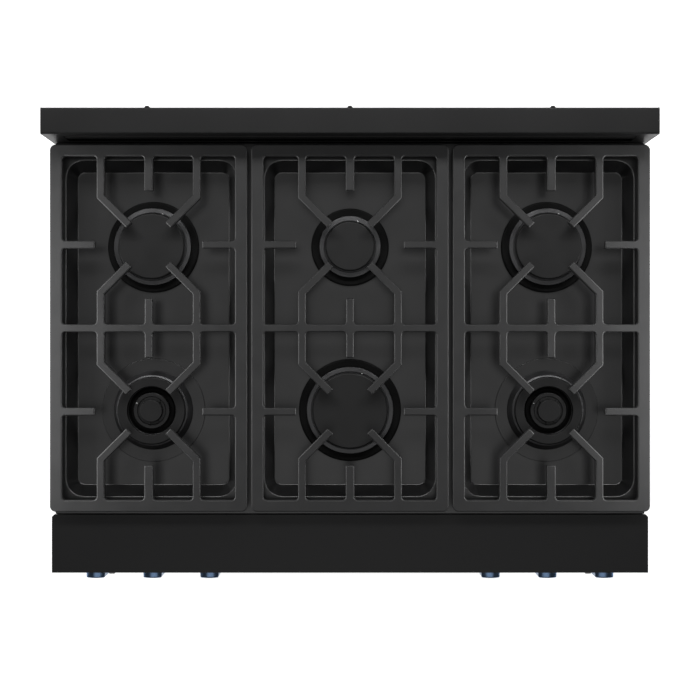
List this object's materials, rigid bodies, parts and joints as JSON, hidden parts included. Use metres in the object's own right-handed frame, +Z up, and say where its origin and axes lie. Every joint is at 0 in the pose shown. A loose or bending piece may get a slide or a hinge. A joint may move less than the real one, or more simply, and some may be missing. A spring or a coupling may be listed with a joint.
{
  "type": "freestanding gas range",
  "caption": "Freestanding gas range with cast-iron grates over enamelled burner wells, a front ledge, blue control knobs, a low backguard and a drop-down oven door.",
  "frame": {"origin": "on the floor under the middle of the range's box, halfway from the handle's front to the gas inlet's end", "axes": "+Z up, -Y towards the user at the front, +X to the user's right"},
  "size_m": [0.911, 0.7336, 0.984],
  "materials": {
    "black_steel": "satin black coating on steel sheet, fine grain",
    "handle_steel": "satin black tube",
    "cooktop_enamel": "black porcelain enamel, slightly speckled, soft gloss",
    "cast_iron": "matte enamelled cast iron with brighter worn edges",
    "cap_enamel": "matte black enamel",
    "burner_alloy": "dark cast aluminium with machined ports",
    "blue_anodised": "blue anodised, turned",
    "galvanised_steel": "zinc coated sheet",
    "leg_steel": "turned steel",
    "oven_enamel": "dark blue-grey porcelain enamel with pale flecks",
    "chrome_wire": "polished wire",
    "window_glass": "dark tinted oven glass",
    "brass": "drawn brass"
  },
  "bodies": {
    "root": {"backguard": "black_steel", "bake_burner": "galvanised_steel", "base_frame": "galvanised_steel", "broil_burner": "galvanised_steel", "burner_head_front_left": "burner_alloy", "burner_head_front_middle": "burner_alloy", "burner_head_front_right": "burner_alloy", "burner_head_rear_left": "burner_alloy", "burner_head_rear_middle": "burner_alloy", "burner_head_rear_right": "burner_alloy", "control_panel": "black_steel", "cooktop": "cooktop_enamel", "door_hinge_left": "galvanised_steel", "door_hinge_right": "galvanised_steel", "gas_manifold": "galvanised_steel", "landing_ledge": "black_steel", "oven_cavity": "oven_enamel", "oven_floor": "oven_enamel", "pressure_regulator": "galvanised_steel", "rear_panel": "galvanised_steel", "side_panel_left": "black_steel", "side_panel_right": "black_steel", "toe_kick": "black_steel"},
    "door": {"door_shell": "black_steel", "door_window": "window_glass", "door_inner_panel": "oven_enamel", "door_handle_bar": "handle_steel", "handle_bracket_left": "handle_steel", "handle_bracket_right": "handle_steel"},
    "stem_1": {"valve_stem_1": "brass"},
    "knob_1": {"burner_knob_1": "blue_anodised"},
    "stem_2": {"valve_stem_2": "brass"},
    "knob_2": {"burner_knob_2": "blue_anodised"},
    "stem_3": {"valve_stem_3": "brass"},
    "knob_3": {"burner_knob_3": "blue_anodised"},
    "stem_4": {"valve_stem_4": "brass"},
    "knob_4": {"burner_knob_4": "blue_anodised"},
    "stem_5": {"valve_stem_5": "brass"},
    "knob_5": {"burner_knob_5": "blue_anodised"},
    "stem_6": {"valve_stem_6": "brass"},
    "knob_6": {"burner_knob_6": "blue_anodised"},
    "oven_control": {"oven_dial": "blue_anodised"},
    "light_switch": {"light_button": "black_steel"},
    "grate_left": {"grate_left": "cast_iron"},
    "grate_middle": {"grate_middle": "cast_iron"},
    "grate_right": {"grate_right": "cast_iron"},
    "burner_cap_rear_left": {"burner_cap_rear_left": "cap_enamel"},
    "burner_cap_rear_middle": {"burner_cap_rear_middle": "cap_enamel"},
    "burner_cap_rear_right": {"burner_cap_rear_right": "cap_enamel"},
    "burner_cap_front_middle": {"burner_cap_front_middle": "cap_enamel"},
    "burner_ring_cap_front_left": {"burner_ring_cap_front_left": "cap_enamel"},
    "burner_inner_cap_front_left": {"burner_inner_cap_front_left": "cap_enamel"},
    "burner_ring_cap_front_right": {"burner_ring_cap_front_right": "cap_enamel"},
    "burner_inner_cap_front_right": {"burner_inner_cap_front_right": "cap_enamel"},
    "rack_lower": {"rack_lower": "chrome_wire"},
    "rack_upper": {"rack_upper": "chrome_wire"},
    "leg_front_left": {"leg_front_left": "leg_steel"},
    "leg_front_right": {"leg_front_right": "leg_steel"},
    "leg_rear_left": {"leg_rear_left": "leg_steel"},
    "leg_rear_right": {"leg_rear_right": "leg_steel"}
  },
  "joints": [
    {"name": "door_hinge", "type": "hinge", "parent": "root", "child": "door", "pos_m": [0, -0.297, 0.197], "axis": [1, 0, 0], "range_deg": [0, 90], "stiffness_Nm_per_rad": 14, "springref_deg": -20.05},
    {"name": "stem_1_push", "type": "slide", "parent": "root", "child": "stem_1", "axis": [0, 1, 0], "range_m": [0, 0.003], "stiffness_N_per_m": 900, "springref_m": -0.003},
    {"name": "knob_1_turn", "type": "hinge", "parent": "stem_1", "child": "knob_1", "pos_m": [-0.398, -0.3115, 0.849], "axis": [0, -1, 0], "range_deg": [0, 270]},
    {"name": "stem_2_push", "type": "slide", "parent": "root", "child": "stem_2", "axis": [0, 1, 0], "range_m": [0, 0.003], "stiffness_N_per_m": 900, "springref_m": -0.003},
    {"name": "knob_2_turn", "type": "hinge", "parent": "stem_2", "child": "knob_2", "pos_m": [-0.309, -0.3115, 0.849], "axis": [0, -1, 0], "range_deg": [0, 270]},
    {"name": "stem_3_push", "type": "slide", "parent": "root", "child": "stem_3", "axis": [0, 1, 0], "range_m": [0, 0.003], "stiffness_N_per_m": 900, "springref_m": -0.003},
    {"name": "knob_3_turn", "type": "hinge", "parent": "stem_3", "child": "knob_3", "pos_m": [-0.22, -0.3115, 0.849], "axis": [0, -1, 0], "range_deg": [0, 270]},
    {"name": "stem_4_push", "type": "slide", "parent": "root", "child": "stem_4", "axis": [0, 1, 0], "range_m": [0, 0.003], "stiffness_N_per_m": 900, "springref_m": -0.003},
    {"name": "knob_4_turn", "type": "hinge", "parent": "stem_4", "child": "knob_4", "pos_m": [0.22, -0.3115, 0.849], "axis": [0, -1, 0], "range_deg": [0, 270]},
    {"name": "stem_5_push", "type": "slide", "parent": "root", "child": "stem_5", "axis": [0, 1, 0], "range_m": [0, 0.003], "stiffness_N_per_m": 900, "springref_m": -0.003},
    {"name": "knob_5_turn", "type": "hinge", "parent": "stem_5", "child": "knob_5", "pos_m": [0.309, -0.3115, 0.849], "axis": [0, -1, 0], "range_deg": [0, 270]},
    {"name": "stem_6_push", "type": "slide", "parent": "root", "child": "stem_6", "axis": [0, 1, 0], "range_m": [0, 0.003], "stiffness_N_per_m": 900, "springref_m": -0.003},
    {"name": "knob_6_turn", "type": "hinge", "parent": "stem_6", "child": "knob_6", "pos_m": [0.398, -0.3115, 0.849], "axis": [0, -1, 0], "range_deg": [0, 270]},
    {"name": "oven_dial_turn", "type": "hinge", "parent": "root", "child": "oven_control", "pos_m": [0, -0.3115, 0.849], "axis": [0, -1, 0], "range_deg": [0, 300]},
    {"name": "light_button_push", "type": "slide", "parent": "root", "child": "light_switch", "axis": [0, 1, 0], "range_m": [0, 0.003], "stiffness_N_per_m": 400, "springref_m": -0.003},
    {"name": "grate_left_lift", "type": "slide", "parent": "root", "child": "grate_left", "axis": [0, 0, 1], "range_m": [0, 0.08]},
    {"name": "grate_middle_lift", "type": "slide", "parent": "root", "child": "grate_middle", "axis": [0, 0, 1], "range_m": [0, 0.08]},
    {"name": "grate_right_lift", "type": "slide", "parent": "root", "child": "grate_right", "axis": [0, 0, 1], "range_m": [0, 0.08]},
    {"name": "rear_left_cap_lift", "type": "slide", "parent": "root", "child": "burner_cap_rear_left", "axis": [0, 0, 1], "range_m": [0, 0.008]},
    {"name": "rear_middle_cap_lift", "type": "slide", "parent": "root", "child": "burner_cap_rear_middle", "axis": [0, 0, 1], "range_m": [0, 0.008]},
    {"name": "rear_right_cap_lift", "type": "slide", "parent": "root", "child": "burner_cap_rear_right", "axis": [0, 0, 1], "range_m": [0, 0.008]},
    {"name": "front_middle_cap_lift", "type": "slide", "parent": "root", "child": "burner_cap_front_middle", "axis": [0, 0, 1], "range_m": [0, 0.008]},
    {"name": "front_left_ring_cap_lift", "type": "slide", "parent": "root", "child": "burner_ring_cap_front_left", "axis": [0, 0, 1], "range_m": [0, 0.008]},
    {"name": "front_left_inner_cap_lift", "type": "slide", "parent": "root", "child": "burner_inner_cap_front_left", "axis": [0, 0, 1], "range_m": [0, 0.006]},
    {"name": "front_right_ring_cap_lift", "type": "slide", "parent": "root", "child": "burner_ring_cap_front_right", "axis": [0, 0, 1], "range_m": [0, 0.008]},
    {"name": "front_right_inner_cap_lift", "type": "slide", "parent": "root", "child": "burner_inner_cap_front_right", "axis": [0, 0, 1], "range_m": [0, 0.006]},
    {"name": "rack_lower_slide", "type": "slide", "parent": "root", "child": "rack_lower", "axis": [0, -1, 0], "range_m": [0, 0.02]},
    {"name": "rack_upper_slide", "type": "slide", "parent": "root", "child": "rack_upper", "axis": [0, -1, 0], "range_m": [0, 0.02]},
    {"name": "leg_front_left_adjust", "type": "slide", "parent": "root", "child": "leg_front_left", "axis": [0, 0, -1], "range_m": [0, 0.03]},
    {"name": "leg_front_right_adjust", "type": "slide", "parent": "root", "child": "leg_front_right", "axis": [0, 0, -1], "range_m": [0, 0.03]},
    {"name": "leg_rear_left_adjust", "type": "slide", "parent": "root", "child": "leg_rear_left", "axis": [0, 0, -1], "range_m": [0, 0.03]},
    {"name": "leg_rear_right_adjust", "type": "slide", "parent": "root", "child": "leg_rear_right", "axis": [0, 0, -1], "range_m": [0, 0.03]}
  ]
}
